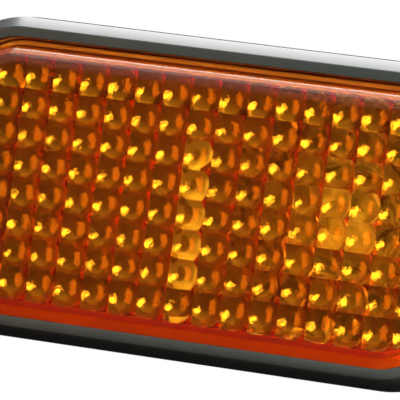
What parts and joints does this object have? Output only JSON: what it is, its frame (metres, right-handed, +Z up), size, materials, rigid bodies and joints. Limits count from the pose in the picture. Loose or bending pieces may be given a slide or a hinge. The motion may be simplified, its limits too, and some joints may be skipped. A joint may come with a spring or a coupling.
{
  "type": "side marker lamp",
  "caption": "Rectangular amber side marker lamp with rounded corners: pillow-optic lens in a black frame, rear housing and twist-lock bulb holder.",
  "frame": {"origin": "centre of the slot in the body panel, in the plane of the gasket's rear face, where the lamp seats on the outside of the panel", "axes": "the lamp looks along -Y, +X runs to the right along its length seen from the front, +Z is up"},
  "size_m": [0.07, 0.045, 0.0384],
  "materials": {
    "amber_lens": "clear amber acrylic, polished",
    "black_frame": "satin moulded black plastic",
    "gasket_rubber": "matt black rubber",
    "seal_rubber": "matt dark rubber",
    "black_housing": "fine spark-eroded moulded texture",
    "silvered_reflector": "vacuum-metallised plastic",
    "bulb_glass": "clear blown glass",
    "tungsten": "drawn tungsten wire",
    "lead_wire": "drawn nickel-iron wire",
    "seal_silicone": "red-brown silicone",
    "pale_holder": "moulded natural nylon",
    "contact_brass": "pressed brass strip",
    "spring_steel": "bent spring steel strip",
    "zinc_screw": "zinc-plated steel",
    "filter_foam": "open-cell foam"
  },
  "bodies": {
    "lamp": {"lens": "amber_lens", "bezel": "black_frame", "panel_gasket": "gasket_rubber", "lens_seal": "seal_silicone", "housing": "black_housing", "reflector": "silvered_reflector", "spring_clip": "spring_steel", "clip_screw": "zinc_screw", "vent_cap": "seal_rubber", "vent_filter": "filter_foam"},
    "holder": {"bulb_holder": "pale_holder", "holder_seal": "seal_rubber", "contact_feed": "contact_brass", "contact_earth": "contact_brass", "bulb_glass": "bulb_glass", "bulb_filament": "tungsten", "bulb_lead_left": "lead_wire", "bulb_lead_right": "lead_wire", "bulb_anchor": "lead_wire"}
  },
  "joints": [
    {"name": "holder_turn", "type": "hinge", "parent": "lamp", "child": "holder", "pos_m": [0.01575, 0.0146, 0], "axis": [0, 1, 0], "range_deg": [0, 40]}
  ]
}
